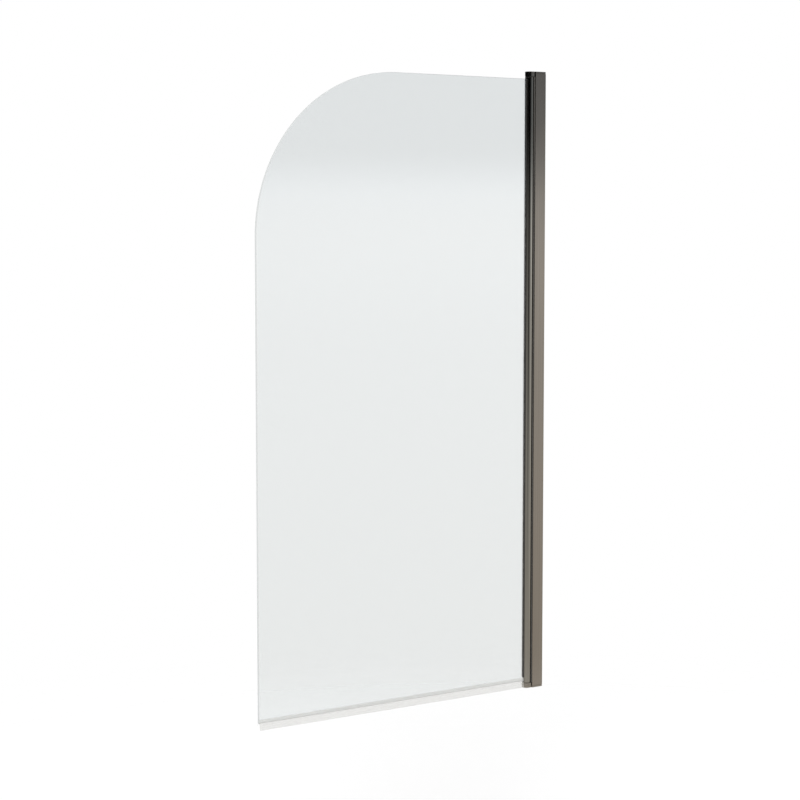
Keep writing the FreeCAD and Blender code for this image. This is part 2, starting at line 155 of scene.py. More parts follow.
def solid(name, *parts):
    """One mesh from grids of points. Each part is a list of grids: its skin first, then its hollows.

    Point j of ring i is number i * across + j, and each quad joins (i, j), (i, j + 1),
    (i + 1, j + 1) and (i + 1, j). Flat lids close the two ends, round the hollows where there are
    any. A grid whose last ring is its first again, as in a turned ring, gets no lids, and neither
    does an end that is a single point.
    """
    points, quads, lids, pierced = [], [], [], []
    for part in parts:
        ends = [[], []]
        for grid in part:
            rows, across = grid.shape[:2]
            number = sum(map(len, points)) + np.arange(rows * across).reshape(rows, across)
            points.append(grid.reshape(-1, 3))
            beside = np.roll(number, -1, axis=1)
            corners = [number[:-1], beside[:-1], beside[1:], number[1:]]
            quads.append(np.stack(corners, axis=2).reshape(-1, 4))
            closed = np.allclose(grid[0], grid[-1])
            for end, row in zip(ends, (0, -1)):
                if not closed and np.ptp(grid[row], axis=0).max() > 0:
                    end.append(number[row])
        (lids if len(part) == 1 else pierced).extend(end for end in ends if end)
    mesh = bpy.data.meshes.new(name)
    faces = [quad for block in quads for quad in block.tolist()] + [end[0].tolist() for end in lids]
    mesh.from_pydata((np.concatenate(points) * MM).tolist(), [], faces)
    mesh.polygons.foreach_set("use_smooth", np.arange(len(faces)) < len(faces) - len(lids))

    work = bmesh.new()
    work.from_mesh(mesh)
    work.verts.ensure_lookup_table()
    for end in pierced:
        rim = {work.verts[i] for i in np.concatenate(end).tolist()}
        edges = [edge for edge in work.edges if edge.is_boundary and rim.issuperset(edge.verts)]
        bmesh.ops.triangle_fill(work, edges=edges, use_beauty=True)
    bmesh.ops.remove_doubles(work, verts=work.verts, dist=WELD * MM)
    bmesh.ops.recalc_face_normals(work, faces=work.faces)
    work.to_mesh(mesh)
    work.free()
    mesh.set_sharp_from_angle(angle=np.radians(SHARP))

    piece = bpy.data.objects.new(name, mesh)
    bpy.context.scene.collection.objects.link(piece)
    shading = piece.modifiers.new("flats stay flat", "WEIGHTED_NORMAL")
    shading.keep_sharp = True
    print(name, len(mesh.vertices), "points,", len(mesh.polygons), "faces")
    return piece


def stand_in(piece, body, slot, material, *names):
    """The piece rides on a body, stands for the CAD nodes named and takes its finish."""
    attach(piece, body)
    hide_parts(*names)
    piece.data.materials.append(material)


# %% [markdown]
# ## Finishes
#
# A finish is a small graph of nodes. One function turns the written sRGB colours to the linear ones
# that the renderer adds up, and one adds a node with its settings and links. Every pattern is noise
# on the piece's own coordinates, scaled so that its cells have the size of the real thing.


# %% Colours and nodes
def linear(code):
    """#rrggbb as linear light: (v + 0.055) / 1.055 to the power 2.4, or v / 12.92 near black."""
    v = np.array([int(code[i:i + 2], 16) for i in (1, 3, 5)]) / 255
    v = np.where(v <= 0.04045, v / 12.92, ((v + 0.055) / 1.055) ** 2.4)
    return (*v.tolist(), 1.0)


def cells(*size):
    """The scale that gives a noise cells of this many millimetres along X, Y and Z."""
    return [1 / (length * MM) for length in size]


def add(tree, kind, inputs=None, **settings):
    """Adds one node. Settings are its own. An input gets a value, or a link from a node or a socket."""
    node = tree.nodes.new("ShaderNode" + kind)
    for name, value in settings.items():
        setattr(node, name, value)
    for socket, value in (inputs or {}).items():
        if isinstance(value, bpy.types.Node):
            value = value.outputs[0]
        if isinstance(value, bpy.types.NodeSocket):
            tree.links.new(value, node.inputs[socket])
        else:
            node.inputs[socket].default_value = value
    return node


def new_finish(name):
    """A material, its empty tree and the piece's own coordinates in that tree."""
    material = bpy.data.materials.new(name)
    material.use_nodes = True
    tree = material.node_tree
    tree.nodes.clear()
    return material, tree, add(tree, "TexCoord").outputs["Object"]


COLOUR_A, COLOUR_B, COLOUR_OUT = 6, 7, 2  # the colour sockets of a Mix node

# %% [markdown]
# Most finishes here are the same small graph. A noise with cells of a real size gives the colour,
# between a darker and a lighter one, and the relief. The roughness follows it too, or a broader noise
# of its own where the polish changes more slowly than the grain. Only the sizes, the colours and the
# ranges differ, so the graph is written once. The finishes in sight were fitted to one photograph by
# trying values, and the hidden ones have typical values. None was measured on a real sample.

# %% A patterned finish
PLAIN, BUSY = 2.0, 3.0  # how many finer layers a noise has over its first


def patterned(name, fine, depth, colours, roughness, broad=None, detail=PLAIN, **surface):
    """A finish with a noise of fine cells, and a broad one for its roughness where that is given.

    Sizes and depth are in millimetres. Colours and roughness are pairs, for the low and the high end
    of the noise, and the value between is low + noise (high - low). Surface goes to the shader.
    """
    material, tree, place = new_finish(name)
    scaled = add(tree, "Mapping", {"Vector": place, "Scale": cells(*fine)})
    grain = add(tree, "TexNoise", {"Vector": scaled, "Scale": 1.0, "Detail": detail})
    polish = grain
    if broad:
        spread = add(tree, "Mapping", {"Vector": place, "Scale": cells(*broad)})
        polish = add(tree, "TexNoise", {"Vector": spread, "Scale": 1.0})
    darker, lighter = map(linear, colours)
    mixed = {"Factor": grain, COLOUR_A: darker, COLOUR_B: lighter}
    colour = add(tree, "Mix", mixed, data_type="RGBA").outputs[COLOUR_OUT]
    smoothest, roughest = roughness
    rough = add(tree, "MapRange", {"Value": polish, "To Min": smoothest, "To Max": roughest})
    relief = add(tree, "Bump", {"Height": grain, "Distance": depth * MM})
    inputs = {"Base Color": colour, "Roughness": rough, "Normal": relief, **surface}
    add(tree, "OutputMaterial", {"Surface": add(tree, "BsdfPrincipled", inputs)})
    print(name, "has cells of", fine, "mm")
    return material


# %% [markdown]
# ### Bronze-grey anodised aluminium
#
# The channel, the expander and the barrel are pressed through a die and then anodised in a warm
# bronze grey. The die leaves fine lines that run the whole length, and the anodic layer over them is
# hard and nearly glossy. The lines are stretched noise: much longer than wide. Real die lines are a
# tenth of a millimetre apart, too fine to show, so they are drawn about ten times as coarse. The
# photograph shows the barrel a touch less warm than the channel, and it matched best with a slightly
# smoother surface, so it has a finish of its own. It is named for a bar that is buffed before it is
# anodised, which would look like this. What was really done to it can't be seen.

# %% Anodised extrusions
DIE_LINE, DIE_LENGTH, DIE_DEPTH = 1.1, 550.0, 0.004
CLOUD, CLOUD_LENGTH = 40.0, 160.0


def anodised_aluminium(name, colours, roughness):
    """Anodised aluminium: fine lines along Z, and a polish that changes in broad clouds."""
    lines, clouds = (DIE_LINE, DIE_LINE, DIE_LENGTH), (CLOUD, CLOUD, CLOUD_LENGTH)
    return patterned(name, lines, DIE_DEPTH, colours, roughness, broad=clouds, detail=BUSY, Metallic=1.0)


anodised = anodised_aluminium(
    "bronze_anodised_extruded_aluminium", colours=("#7f786f", "#979087"), roughness=(0.07, 0.17))
buffed = anodised_aluminium(
    "bronze_anodised_buffed_aluminium", colours=("#7f7c74", "#97948d"), roughness=(0.05, 0.12))

# %% [markdown]
# ### Covers in the same colour
#
# The caps and the small domes are moulded plastic with a metal coat. They match the colour of the
# aluminium but have no lines, only the soft orange peel of a sprayed or plated moulding.

# %% Metal-coated moulding
PEEL, PEEL_DEPTH, SHEEN = 1.6, 0.004, 9.0
coated = patterned(
    "metal_coated_moulded_abs", fine=3 * [PEEL], depth=PEEL_DEPTH, broad=3 * [SHEEN],
    colours=("#7c766e", "#908a7f"), roughness=(0.05, 0.14), Metallic=1.0)

# %% [markdown]
# ### Toughened float glass
#
# Float glass is flat to a few hundredths of a millimetre. Toughening adds a slow ripple, some 300 mm
# from crest to crest, where the hot sheet sagged between the rollers. It takes a little light and a
# touch more red than blue. Shower glass often has an easy-clean coating, and one is assumed here: it
# mirrors a little more than bare glass does. A ground edge scatters most of the light that meets it
# and looks pale. Where clear vinyl clings to the edge, as along the bottom, the vinyl is taken to
# fill the grit, so the edge stays clear.

# %% Glass
RIPPLE, RIPPLE_DEPTH = 300.0, 0.03
GLASS_IOR, COATING_IOR = 1.52, 1.85
glass, tree, place = new_finish("clear_toughened_float_glass")
slow = add(tree, "Mapping", {"Vector": place, "Scale": cells(RIPPLE, RIPPLE, RIPPLE)})
ripple = add(tree, "TexNoise", {"Vector": slow, "Scale": 1.0, "Detail": 0.0})
relief = add(tree, "Bump", {"Height": ripple, "Distance": RIPPLE_DEPTH * MM})
shader = add(tree, "BsdfPrincipled", {
    "Base Color": linear("#e8ebeb"), "Roughness": 0.0, "IOR": GLASS_IOR, "Transmission Weight": 1.0,
    "Coat Weight": 1.0, "Coat IOR": COATING_IOR, "Coat Roughness": 0.0, "Normal": relief})
add(tree, "OutputMaterial", {"Surface": shader})
print(glass.name, "ripples every", RIPPLE, "mm")

# %% Ground edge
GRIT, GRIT_DEPTH = 0.3, 0.01
ground = patterned(
    "ground_and_seamed_glass_edge", fine=3 * [GRIT], depth=GRIT_DEPTH, detail=BUSY,
    colours=("#cfd2d2", "#e4e7e7"), roughness=(0.3, 0.65), IOR=GLASS_IOR, Alpha=0.6)

# %% [markdown]
# ### Soft and moulded plastics
#
# The drip seal is clear vinyl, pressed out in long lengths, so its faint lines run along X. Its walls
# are under a millimetre thick, and so thin a wall hardly bends light, so it is a plain surface that
# covers a quarter of what lies behind it, and half of it in the stiffer clip above the web. Its inner
# faces, its back wall and its fin are taken as a softer and much clearer grade, pressed out together
# with the rest: with one grade all through, the foot of the glass came out darker than it looks in
# the photograph. The gasket round the hidden edge of the glass is vinyl coloured dark grey, which
# makes the line along its bead dark. The wipers are rubber with a dull, grainy skin, coloured a
# lighter grey than dark rubber has: painted light in the shaded gap between the barrel and the
# channel. The bushes are black acetal, which is smooth and waxy.

# %% Clear vinyl
STREAK, STREAK_LENGTH, STREAK_DEPTH = 0.8, 160.0, 0.006
THIN_COVER, THICK_COVER = 0.2, 0.36
CLIP_COVER, CLIP_BLEND = 0.22, 1.5
VINYL_IOR = 1.53
clear_vinyl, tree, place = new_finish("clear_extruded_vinyl")
drawn = add(tree, "Mapping", {"Vector": place, "Scale": cells(STREAK_LENGTH, STREAK, STREAK)})
streaks = add(tree, "TexNoise", {"Vector": drawn, "Scale": 1.0})
colours = {"Factor": streaks, COLOUR_A: linear("#d9d8d2"), COLOUR_B: linear("#eeede8")}
colour = add(tree, "Mix", colours, data_type="RGBA").outputs[COLOUR_OUT]
rough = add(tree, "MapRange", {"Value": streaks, "To Min": 0.05, "To Max": 0.4})
cover = add(tree, "MapRange", {"Value": streaks, "To Min": THIN_COVER, "To Max": THICK_COVER})
height = add(tree, "SeparateXYZ", {0: place}).outputs["Z"]
low, high = SEAL_WEB * MM, (SEAL_WEB + CLIP_BLEND) * MM
limits = {"Value": height, "From Min": low, "From Max": high, "To Max": CLIP_COVER}
thicker = add(tree, "MapRange", limits)
cover = add(tree, "Math", {0: cover, 1: thicker}, operation="ADD")
relief = add(tree, "Bump", {"Height": streaks, "Distance": STREAK_DEPTH * MM})
shader = add(tree, "BsdfPrincipled", {
    "Base Color": colour, "Roughness": rough, "IOR": VINYL_IOR, "Alpha": cover, "Normal": relief})
add(tree, "OutputMaterial", {"Surface": shader})
print(clear_vinyl.name, "covers more above", SEAL_WEB, "mm")

# %% Soft clear vinyl
soft_vinyl, tree, place = new_finish("soft_clear_extruded_vinyl")
shader = add(tree, "BsdfPrincipled", {
    "Base Color": linear("#f4f5f5"), "Roughness": 0.05, "IOR": VINYL_IOR, "Alpha": 0.03})
add(tree, "OutputMaterial", {"Surface": shader})
print(soft_vinyl.name, "is the same all over")

# %% Grey vinyl
GASKET_DEPTH = 0.01
# Dark greys, which make the line along the gasket's bead dark.
grey_vinyl = patterned(
    "dark_grey_extruded_vinyl", fine=(STREAK, STREAK, STREAK_LENGTH), depth=GASKET_DEPTH,
    colours=("#262524", "#3e3d3a"), roughness=(0.05, 0.25), IOR=VINYL_IOR)

# %% Rubber
GRAIN, GRAIN_DEPTH = 0.35, 0.015
# Lighter greys than dark rubber has: painted light in the shaded gap between the barrel and the channel.
rubber_painted_lighter = patterned(
    "moulded_rubber_painted_lighter", fine=3 * [GRAIN], depth=GRAIN_DEPTH, detail=BUSY,
    colours=("#4a4743", "#73706b"), roughness=(0.35, 0.65), IOR=1.52)

# %% Acetal
SKIN, SKIN_DEPTH = 0.9, 0.004
acetal = patterned(
    "black_moulded_acetal", fine=3 * [SKIN], depth=SKIN_DEPTH,
    colours=("#141516", "#2e3033"), roughness=(0.2, 0.5), IOR=1.48)

# %% [markdown]
# ### Zinc and steel
#
# The brackets and end plugs are die-cast zinc, plated to match the profile, and the screws are
# stainless steel, polished by the washing and rolling that screws get after heading.

# %% Plated zinc
FLOW, FLOW_DEPTH = 2.2, 0.006
zinc = patterned(
    "plated_die_cast_zinc", fine=3 * [FLOW], depth=FLOW_DEPTH, detail=BUSY,
    colours=("#76716a", "#948f87"), roughness=(0.05, 0.16), Metallic=1.0)

# %% Stainless steel
TUMBLE, TUMBLE_DEPTH = 0.5, 0.003
steel = patterned(
    "stainless_steel_headed_and_rolled", fine=3 * [TUMBLE], depth=TUMBLE_DEPTH, detail=BUSY,
    colours=("#a5a39f", "#d4d2ce"), roughness=(0.1, 0.38), Metallic=1.0)

# %% Finishes of the pieces that stay as the model has them
KEPT = {
    anodised: ("wall_channel", "expander_profile"),
    zinc: ("bottom_bracket", "top_bracket"),
    steel: ("clamp_screws", "clamp_nut_plates", "bottom_bracket_screws", "top_bracket_screws"),
    acetal: ("clamp_washers", "glass_setting_block"),
}
for material, names in KEPT.items():
    for name in names:
        for slot in nodes[name].material_slots:
            slot.material = material
        print(name, "is now", material.name)

# %% [markdown]
# ## The sheet of glass
#
# The sheet has square corners and one large quarter round. Its edges are ground flat before the glass
# is toughened, and the two sharp edges of that flat are eased. The rings here are the outline of the
# sheet, shrunk a little and moved through its thickness, so the eased edge follows the outline all the
# way round. The faces of the edge take the ground finish, apart from those in the seal.

# %% Glass sheet
ARRIS, ARRIS_STEPS = 0.6, 5
SQUARE_CORNER, CORNER_STEPS = 1.0, 97
BROAD_FACE = 0.999  # how much of its normal a face of the broad sides has along Y
turn = np.linspace(0, np.pi / 2, ARRIS_STEPS)
inset = ARRIS * (1 - np.sin(turn))
depth = GLASS_HALF - ARRIS * (1 - np.cos(turn))
inset = np.concatenate([inset, inset[::-1]])
depth = np.concatenate([-depth, depth[::-1]])


def sheet_ring(shrink, y):
    """The outline of the sheet, moved in by shrink, at depth y."""
    flat = rounded([
        (GLASS_HIDDEN_X - shrink, GLASS_LOW + shrink, SQUARE_CORNER),
        (GLASS_HIDDEN_X - shrink, GLASS_HIGH - shrink, SQUARE_CORNER),
        (GLASS_FREE_X + shrink, GLASS_HIGH - shrink, GLASS_CORNER - shrink),
        (GLASS_FREE_X + shrink, GLASS_LOW + shrink, SQUARE_CORNER),
    ], CORNER_STEPS)
    return np.stack([flat[:, 0], 0 * flat[:, 0] + y, flat[:, 1]], axis=1)


sheet = solid("glass_sheet", [np.array([sheet_ring(s, y) for s, y in zip(inset, depth)])])
stand_in(sheet, "glass_leaf", "clear_glass", glass, "glass_panel")
sheet.data.materials.append(ground)
normals, middles = np.empty((2, 3 * len(sheet.data.polygons)))
sheet.data.polygons.foreach_get("normal", normals)
sheet.data.polygons.foreach_get("center", middles)
on_edge = np.abs(normals[1::3]) < BROAD_FACE
in_sight = on_edge & (middles[2::3] / MM > GLASS_LOW + ARRIS)
sheet.data.polygons.foreach_set("material_index", in_sight.astype(int))
print(in_sight.sum(), "faces of the edge are ground")

# %% [markdown]
# ## The hinge barrel
#
# The barrel is an extrusion too: a round tube with a slot let into it for the glass, a web behind the
# slot and one rib, which leave two hollow chambers. Its outline is one large arc, two small lips and
# the slot.

# %% Barrel
LIP = 0.4
ROUND_STEPS, LIP_STEPS, CHAMBER_STEPS = 145, 9, 41
lip_y = SLOT_HALF + LIP
lip_x = -np.sqrt((BARREL - LIP) ** 2 - lip_y ** 2)
lip_angle = np.degrees(np.arctan2(lip_y, lip_x))
floor_x = SLOT_FLOOR_X - AXIS_X
round_side = arc((0, 0), BARREL, lip_angle, -lip_angle, ROUND_STEPS)
front_lip = arc((lip_x, -lip_y), LIP, 360 - lip_angle, 90, LIP_STEPS)
back_lip = front_lip[::-1] * (1, -1)
slot_floor = np.array([(floor_x, -SLOT_HALF), (floor_x, SLOT_HALF)])
outside = np.concatenate([round_side, front_lip[1:], slot_floor, back_lip[:-1]])

CORE_X = floor_x + BARREL_WALL
CORE_HALF = SLOT_HALF + BARREL_WALL
RIB_HALF = 0.75


def chamber(gap=0.0):
    """The outline of the back chamber, moved in by a gap: an arc, then the corner of the core."""
    radius = BARREL - BARREL_WALL - gap
    core_x, core_y, rib_y = CORE_X + gap, CORE_HALF + gap, RIB_HALF + gap
    start, end = np.degrees(np.arcsin(np.array([rib_y, core_y]) / radius))
    corner = [(core_x, core_y), (core_x, rib_y)]
    return np.concatenate([arc((0, 0), radius, start, 180 - end, CHAMBER_STEPS), corner])


ends = (-BARREL_END, BARREL_END)
sections = [section + (AXIS_X, 0) for section in (outside, chamber(), chamber() * (1, -1))]
barrel = solid("hinge_barrel_extrusion", [carried(section, ends) for section in sections])
stand_in(barrel, "glass_leaf", "profile_metal", buffed, "hinge_barrel")

# %% [markdown]
# ## End plugs and bushes
#
# Each end of the barrel is closed by a cast plug. Its two prongs fill the chambers, its disc covers
# the end of the tube, and its journal turns in a flanged bush. Disc, journal and bush are turned
# shapes: a (radius, height) profile with eased corners, carried round the axis of the hinge.

# %% Sizes at the lower end of the hinge
BRACKET_OUT = -SCREEN_HALF + COVER
BRACKET_IN = -688.9
FLANGE_IN = -688.1
PLUG_OUT = -687.8
JOURNAL = 6.0
DISC = 9.9
PRONG = 14.0
PRONG_GAP = 0.15
EASE, EASE_STEPS = 0.15, 4
JOURNAL_IN = 0.5
POLE = 2 * EASE
TURNED_STEPS = 96


# %% Plugs
def at_both_ends(*grids):
    """Pieces drawn at the lower end, moved on to the axis of the hinge, and their mirror images."""
    moved = [grid + (AXIS_X, 0, 0) for grid in grids]
    return [[grid * (1, 1, flip)] for flip in (1, -1) for grid in moved]


plug = rounded([
    (POLE, BRACKET_OUT + JOURNAL_IN, EASE),
    (JOURNAL, BRACKET_OUT + JOURNAL_IN, EASE),
    (JOURNAL, PLUG_OUT, EASE),
    (DISC, PLUG_OUT, EASE),
    (DISC, -BARREL_END, EASE),
    (POLE, -BARREL_END, EASE),
], EASE_STEPS)[EASE_STEPS - 1:1 - EASE_STEPS]
prong = carried(chamber(PRONG_GAP), (-BARREL_END, -BARREL_END + PRONG))
plug_grids = at_both_ends(spun(plug, TURNED_STEPS), prong, prong * (1, -1, 1))
plugs = solid("barrel_end_plugs_turned", *plug_grids)
stand_in(plugs, "glass_leaf", "bracket_zinc", zinc, "barrel_end_plugs")

# %% Bushes
BORE_PLAY, BUSH_WALL, FLANGE = 0.05, 1.0, 9.0
BORE = JOURNAL + BORE_PLAY
SLEEVE = BORE + BUSH_WALL
bush = rounded([
    (BORE, BRACKET_OUT, EASE),
    (SLEEVE, BRACKET_OUT, EASE),
    (SLEEVE, BRACKET_IN, EASE),
    (FLANGE, BRACKET_IN, EASE),
    (FLANGE, FLANGE_IN, EASE),
    (BORE, FLANGE_IN, EASE),
], EASE_STEPS)
closed_bush = spun(np.concatenate([bush, bush[:1]]), TURNED_STEPS)
bushes = solid("flanged_bushes", *at_both_ends(closed_bush))
stand_in(bushes, "hinge_post", "acetal", acetal, "pivot_bushes")

# %% [markdown]
# ## Gasket, wipers and drip seal
#
# These are soft extrusions, so all of them are outlines carried along a line. Their tips are round,
# because soft vinyl never comes out of a die with a sharp edge.

# %% Gasket
HAIR = 0.05  # a hair of air between the glass and what grips it, so that light passes both
BEAD_X, BEAD_TIP_X = -46.6, -49.2
BEAD_RISE, BEAD_EASE, BEAD_LIP = 0.5, 0.3, 0.35
CRISP, STRIP_STEPS = 0.1, 5
grip = GLASS_HALF + HAIR
bead_side = [
    (GLASS_HIDDEN_X + HAIR, grip, CRISP),
    (BEAD_TIP_X, grip, CRISP),
    (BEAD_TIP_X, SLOT_HALF - BEAD_LIP, BEAD_EASE),
    (BEAD_X, SLOT_HALF + BEAD_RISE, BEAD_EASE),
    (BEAD_X, SLOT_HALF, CRISP),
    (SLOT_FLOOR_X, SLOT_HALF, BEAD_EASE),
]
other_side = [(x, -y, ease) for x, y, ease in reversed(bead_side)]
gasket_outline = rounded(bead_side + other_side, STRIP_STEPS)
SEAL_GAP = 0.3
gasket_ends = (SEAL_TOP + SEAL_GAP, GLASS_HIGH)
gasket = solid("glazing_gasket_extrusion", [carried(gasket_outline, gasket_ends)])
stand_in(gasket, "glass_leaf", "grey_vinyl", grey_vinyl, "glazing_gasket")

# %% Wipers
WIPER_Y, FOOT_HALF, FOOT_DEPTH = 8.2, 0.9, 1.4
MOUTH_X, SHOULDER, ROOT = -27.5, 1.1, 0.4
RUNNING_GAP = 0.3
TIP_WIDTH = 0.4
FOOT_EASE, SHOULDER_EASE = 0.2, 0.5
low_y, high_y = WIPER_Y - FOOT_HALF, WIPER_Y + FOOT_HALF
tip_x = AXIS_X + np.sqrt((BARREL + RUNNING_GAP) ** 2 - low_y ** 2)
wiper_outline = rounded([
    (MOUTH_X + FOOT_DEPTH, low_y, FOOT_EASE),
    (MOUTH_X + FOOT_DEPTH, high_y, FOOT_EASE),
    (MOUTH_X - SHOULDER, high_y, SHOULDER_EASE),
    (tip_x, low_y + TIP_WIDTH, EASE),
    (tip_x, low_y, EASE),
    (MOUTH_X - SHOULDER, low_y - ROOT, SHOULDER_EASE),
    (MOUTH_X, low_y - ROOT, EASE),
    (MOUTH_X, low_y, CRISP),
], STRIP_STEPS)
for name, side in (("front_wiper_seal", -1), ("back_wiper_seal", 1)):
    strip = carried(wiper_outline * (1, side), (BRACKET_IN, -BRACKET_IN))
    wiper = solid(name.replace("seal", "strip"), [strip])
    stand_in(wiper, "hinge_post", "black_rubber", rubber_painted_lighter, name)

# %% [markdown]
# The drip seal clips on the lower edge of the glass. Its skirt curves forwards to the rim of the bath
# and its short fin leans back. Along its length the soft hem of the skirt wanders by a few tenths of a
# millimetre, two sines whose size grows towards the hem.

# %% Drip seal
SEAL_WALL = 0.9
HEM_LIFT = 1.5
HEM = -SCREEN_HALF + HEM_LIFT
LIP_DROP = 0.5
SKIRT_FLARE, FIN_FLARE, FIN_TIP, FIN_DROP = 2.2, 2.6, 0.5, 4.4
LIP_EASE, HEM_EASE, WEB_EASE, SEAL_STEPS = 0.5, 0.35, 0.2, 9
out = GLASS_HALF + SEAL_WALL
half_way = (SEAL_WEB + HEM) / 2
sweep = (SEAL_WEB - HEM) * 2
FIN_END = SEAL_WEB - FIN_DROP
seal_outline = rounded([
    (-grip, SEAL_TOP, EASE),
    (-out, SEAL_TOP - LIP_DROP, LIP_EASE),
    (-out, half_way, sweep),
    (-out - SKIRT_FLARE, HEM, HEM_EASE),
    (-out - SKIRT_FLARE + SEAL_WALL, HEM, HEM_EASE),
    (-grip, half_way, sweep),
    (-grip, SEAL_WEB, WEB_EASE),
    (grip, SEAL_WEB, WEB_EASE),
    (out + FIN_FLARE - FIN_TIP, FIN_END, EASE),
    (out + FIN_FLARE, FIN_END, EASE),
    (out, SEAL_WEB, LIP_EASE),
    (out, SEAL_TOP - LIP_DROP, LIP_EASE),
    (grip, SEAL_TOP, EASE),
    (grip, GLASS_LOW - HAIR, EASE),
    (-grip, GLASS_LOW - HAIR, EASE),
], SEAL_STEPS)
FREE_GAP, SEAL_STATIONS = 1.0, 141
stations = np.linspace(GLASS_FREE_X + FREE_GAP, AXIS_X - BARREL - SEAL_GAP, SEAL_STATIONS)
grid = carried(seal_outline, stations, along="x")
SLOW, QUICK, WANDER = 31.0, 13.7, 0.2
QUICK_SHARE, QUICK_START = 0.6, 1.0
hang = np.clip((SEAL_WEB - grid[..., 2]) / (SEAL_WEB - HEM), 0, 1) ** 2
quick_wave = QUICK_SHARE * np.sin(grid[..., 0] / QUICK + QUICK_START)
wave = np.sin(grid[..., 0] / SLOW) + quick_wave
grid[..., 1] += WANDER * hang * wave
seal = solid("drip_seal", [grid])
stand_in(seal, "glass_leaf", "clear_vinyl", clear_vinyl, "bottom_seal")
seal.data.materials.append(soft_vinyl)
middles = np.empty(3 * len(seal.data.polygons))
seal.data.polygons.foreach_get("center", middles)
across, up = middles[1::3] / MM, middles[2::3] / MM
inside = (np.abs(across) < grip + HAIR) & (up > SEAL_WEB - HAIR)
behind = (across > grip + HAIR) | ((across > 0) & (up < SEAL_WEB - HAIR))
soft = inside | behind
seal.data.polygons.foreach_set("material_index", soft.astype(int))
print(soft.sum(), "faces of the seal are of the soft grade")

# %% [markdown]
# ## Cover caps
#
# A cap closes each end of the hinge. Seen from above it is the outline of the channel and the barrel
# together. Its outer edge is rounded, which is what catches the light, so the rings of this surface
# are the outline at several insets that follow a quarter circle, and then the inside of the lid.


# %% Caps
WALL_GAP = 0.5
CAP_EASE, LEAST_EASE, THROAT = 0.5, 0.1, 0.15
HINT = 0.001
CAP_STEPS, NOSE_STEPS = 5, 65


def cap_ring(shrink, z):
    """The outline of the cap moved in by shrink: the channel, then half a circle for the nose.

    The last two corners lie on the nose. They only give the sides before them their direction, and
    the half circle takes their place.
    """
    nose = BARREL - shrink
    left, right = -CHANNEL_DEPTH + shrink, -WALL_GAP - shrink
    side = CHANNEL_HALF - shrink
    ease = max(CAP_EASE - shrink, LEAST_EASE)
    throat = THROAT + shrink / 2
    channel = rounded([
        (left, -nose, throat),
        (left, -side, ease),
        (right, -side, ease),
        (right, side, ease),
        (left, side, ease),
        (left, nose, throat),
        (AXIS_X - nose, nose, HINT),
        (AXIS_X - nose, -nose, HINT),
    ], CAP_STEPS)[:-2 * CAP_STEPS]
    half_circle = arc((AXIS_X, 0), nose, 90, 270, NOSE_STEPS)
    flat = np.concatenate([channel, half_circle])
    return np.column_stack([flat, np.full(len(flat), z)])


EDGE, EDGE_STEPS = 0.8, 6
LID, BEVEL = 1.5, 0.1
turn = np.linspace(0, np.pi / 2, EDGE_STEPS)
steps_out = [(EDGE * (1 - np.sin(a)), -SCREEN_HALF + EDGE * (1 - np.cos(a))) for a in turn]
rim = -SCREEN_HALF + COVER
steps_in = [
    (0.0, rim - BEVEL),
    (BEVEL, rim),
    (LID - BEVEL, rim),
    (LID, rim - BEVEL),
    (LID, -SCREEN_HALF + LID),
]
lid = np.array([cap_ring(*step) for step in steps_out + steps_in])
PEG_X, PEG_Y, PEG_HALF, PEG_EASE = -16.0, 6.5, 1.5, 0.3
PEG_ROOT, PEG_REACH = 0.4, 3.6
turns = ((-1, -1), (1, -1), (1, 1), (-1, 1))
square = rounded([(x * PEG_HALF, y * PEG_HALF, PEG_EASE) for x, y in turns], EASE_STEPS)
peg_heights = (-SCREEN_HALF + LID - PEG_ROOT, rim + PEG_REACH)
pegs = [carried(square + (PEG_X, side * PEG_Y), peg_heights) for side in (-1, 1)]
for name, flip in (("bottom_cover_cap", 1), ("top_cover_cap", -1)):
    parts = [[grid * (1, 1, flip)] for grid in (lid, *pegs)]
    cap = solid(name + "_moulding", *parts)
    stand_in(cap, "hinge_post", "cap_metal", coated, name)

# %% [markdown]
# ## Screw covers
#
# Three small domes clip over the clamp screws on the back of the channel. Each is a turned profile:
# a straight wall and a face that bulges a little, the cap of a large sphere.

# %% Domes
DOME, DOME_WALL, LIFT, CROWN = 6.25, 0.9, 4.2, 1.3
RIM_EASE, RIM_CUT = 0.35, 0.12
DOME_RINGS, DOME_STEPS = 12, 64
sphere = (DOME ** 2 + CROWN ** 2) / (2 * CROWN)
radii = np.linspace(DOME - RIM_EASE, 0, DOME_RINGS)
face_height = LIFT + DOME_WALL + CROWN - sphere + np.sqrt(sphere ** 2 - radii ** 2)
start = [
    (0.0, LIFT),
    (DOME - DOME_WALL, LIFT),
    (DOME - DOME_WALL, 0.0),
    (DOME, 0.0),
    (DOME, face_height[0] - RIM_EASE),
    (DOME - RIM_CUT, face_height[0] - RIM_CUT),
]
drawn = spun(np.concatenate([start, np.column_stack([radii, face_height])]), DOME_STEPS)
CLAMP_X, CLAMP_PITCH = -19.0, 560.0
laid = np.stack([drawn[..., 0], drawn[..., 2] + CHANNEL_HALF, -drawn[..., 1]], axis=2)
places = [(CLAMP_X, 0, z) for z in (-CLAMP_PITCH, 0, CLAMP_PITCH)]
domes = solid("domed_screw_covers", *[[laid + place] for place in places])
stand_in(domes, "wall_post", "cap_metal", coated, "clamp_screw_covers")

# %% [markdown]
# ## Camera
#
# The camera stands to the left of the glass and looks along it towards the wall, a little down. Its
# place was worked out from the straight edges and the round corner in the photograph.

